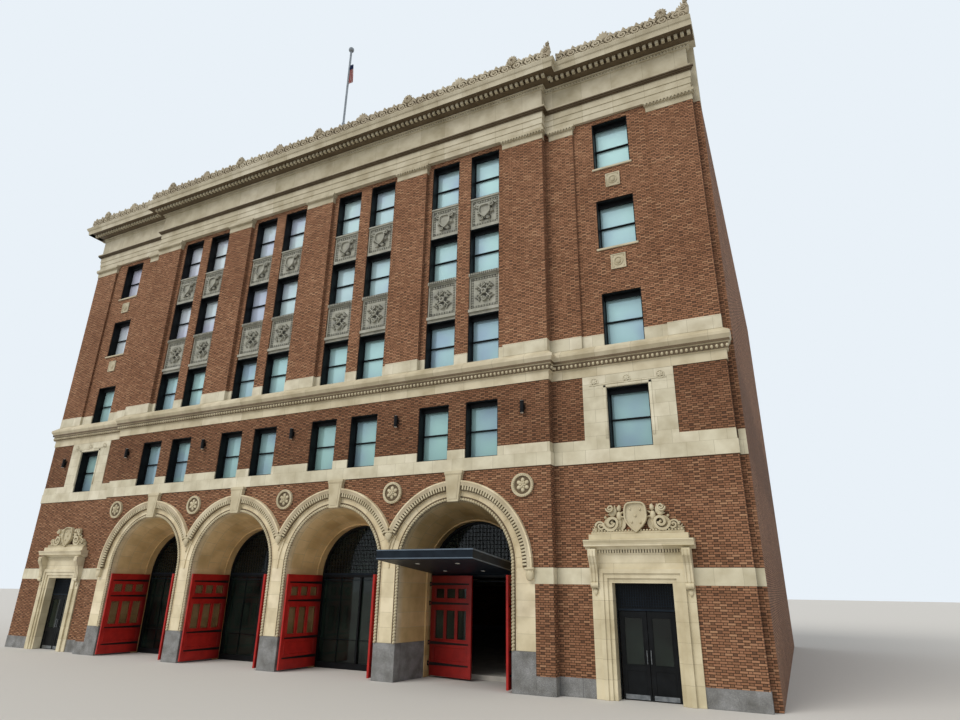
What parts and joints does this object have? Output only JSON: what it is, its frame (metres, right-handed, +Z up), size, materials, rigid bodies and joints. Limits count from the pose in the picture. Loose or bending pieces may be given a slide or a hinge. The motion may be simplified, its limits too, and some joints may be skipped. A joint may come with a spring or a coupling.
{
  "type": "fire station building",
  "caption": "Corner fire station in brick and cream terracotta: deep arched engine bays with red leaves, pilastered upper storeys, bracketed doorways, a bold cornice with cresting.",
  "frame": {"origin": "middle of the plot on the ground, between the centre block's street face and the back wall", "axes": "+Z up, the street front faces -Y, +X towards the neighbour's party wall"},
  "size_m": [34.48, 25.97, 32.96],
  "materials": {
    "brick": "brown-red face brick with light and dark bricks, matte",
    "terracotta": "cream architectural terracotta, faint glaze",
    "granite": "grey granite, dressed",
    "grey_terracotta": "grey-green glazed terracotta, matte",
    "black_metal": "blue-black paint, satin",
    "red_paint": "deep red gloss paint",
    "glass": "clear glass with a pale blue-green reflection",
    "concrete": "plain grey concrete",
    "pole_metal": "weathered grey metal",
    "flag_cloth": "limp woven cloth"
  },
  "bodies": {
    "building": {"granite_bases": "granite", "arcade_piers": "terracotta", "inner_jambs": "terracotta", "inner_arches": "terracotta", "arch_soffits": "terracotta", "archivolts": "terracotta", "keystones": "terracotta", "arch_pendants": "terracotta", "arcade_masonry": "brick", "arch_spandrels": "brick", "medallions": "terracotta", "impost_bands": "terracotta", "end_bay_piers": "brick", "door_surrounds": "terracotta", "door_crests": "terracotta", "door_frames": "black_metal", "storefront_frames": "black_metal", "storefront_glass": "glass", "canopy": "black_metal", "sill_band": "terracotta", "block_courses": "terracotta", "front_wall_piers": "brick", "front_wall_spandrels": "brick", "end_window_surrounds": "terracotta", "belt_cornice": "terracotta", "brick_pilasters": "brick", "pilaster_capitals": "terracotta", "spandrel_panels": "grey_terracotta", "sills_and_plaques": "terracotta", "architrave": "terracotta", "frieze": "terracotta", "main_cornice": "terracotta", "cresting": "terracotta", "side_wall_piers": "brick", "side_wall_spandrels": "brick", "side_bands": "terracotta", "party_wall": "brick", "ground_slab": "concrete", "floor_slabs": "concrete", "roof_slab": "concrete", "front_window_frames": "black_metal", "front_window_glass": "glass", "side_window_frames": "black_metal", "side_window_glass": "glass", "wall_lights": "black_metal", "flagpole": "pole_metal", "flag": "flag_cloth", "hinge_brackets": "black_metal"},
    "red_leaf_1_left": {"red_leaf_1_left": "red_paint"},
    "red_leaf_1_right": {"red_leaf_1_right": "red_paint"},
    "red_leaf_2_left": {"red_leaf_2_left": "red_paint"},
    "red_leaf_2_right": {"red_leaf_2_right": "red_paint"},
    "red_leaf_3_left": {"red_leaf_3_left": "red_paint"},
    "red_leaf_3_right": {"red_leaf_3_right": "red_paint"},
    "red_leaf_4_left": {"red_leaf_4_left": "red_paint"},
    "red_leaf_4_right": {"red_leaf_4_right": "red_paint"},
    "west_door_left": {"west_door_left": "black_metal"},
    "west_door_right": {"west_door_right": "black_metal"},
    "east_door_left": {"east_door_left": "black_metal"},
    "east_door_right": {"east_door_right": "black_metal"}
  },
  "joints": [
    {"name": "red_leaf_1_left_hinge", "type": "hinge", "parent": "building", "child": "red_leaf_1_left", "pos_m": [-9.3675, -10.2, 1.09], "axis": [0, 0, 1], "range_deg": [0, 94.5]},
    {"name": "red_leaf_1_right_hinge", "type": "hinge", "parent": "building", "child": "red_leaf_1_right", "pos_m": [-5.7075, -10.2, 1.09], "axis": [0, 0, -1], "range_deg": [0, 94.5]},
    {"name": "red_leaf_2_left_hinge", "type": "hinge", "parent": "building", "child": "red_leaf_2_left", "pos_m": [-4.3425, -10.2, 1.09], "axis": [0, 0, 1], "range_deg": [0, 94.5]},
    {"name": "red_leaf_2_right_hinge", "type": "hinge", "parent": "building", "child": "red_leaf_2_right", "pos_m": [-0.6825, -10.2, 1.09], "axis": [0, 0, -1], "range_deg": [0, 94.5]},
    {"name": "red_leaf_3_left_hinge", "type": "hinge", "parent": "building", "child": "red_leaf_3_left", "pos_m": [0.6825, -10.2, 1.09], "axis": [0, 0, 1], "range_deg": [0, 94.5]},
    {"name": "red_leaf_3_right_hinge", "type": "hinge", "parent": "building", "child": "red_leaf_3_right", "pos_m": [4.3425, -10.2, 1.09], "axis": [0, 0, -1], "range_deg": [0, 94.5]},
    {"name": "red_leaf_4_left_hinge", "type": "hinge", "parent": "building", "child": "red_leaf_4_left", "pos_m": [5.7075, -10.2, 1.09], "axis": [0, 0, 1], "range_deg": [-84.5, 10]},
    {"name": "red_leaf_4_right_hinge", "type": "hinge", "parent": "building", "child": "red_leaf_4_right", "pos_m": [9.3675, -10.2, 1.09], "axis": [0, 0, -1], "range_deg": [0, 94.5]},
    {"name": "west_door_left_hinge", "type": "hinge", "parent": "building", "child": "west_door_left", "pos_m": [-14.389, -11.305, 1.16], "axis": [0, 0, -1], "range_deg": [-90, 0]},
    {"name": "west_door_right_hinge", "type": "hinge", "parent": "building", "child": "west_door_right", "pos_m": [-12.771, -11.305, 1.16], "axis": [0, 0, 1], "range_deg": [-90, 0]},
    {"name": "east_door_left_hinge", "type": "hinge", "parent": "building", "child": "east_door_left", "pos_m": [12.771, -11.305, 1.16], "axis": [0, 0, -1], "range_deg": [-90, 0]},
    {"name": "east_door_right_hinge", "type": "hinge", "parent": "building", "child": "east_door_right", "pos_m": [14.389, -11.305, 1.16], "axis": [0, 0, 1], "range_deg": [-90, 0]}
  ]
}
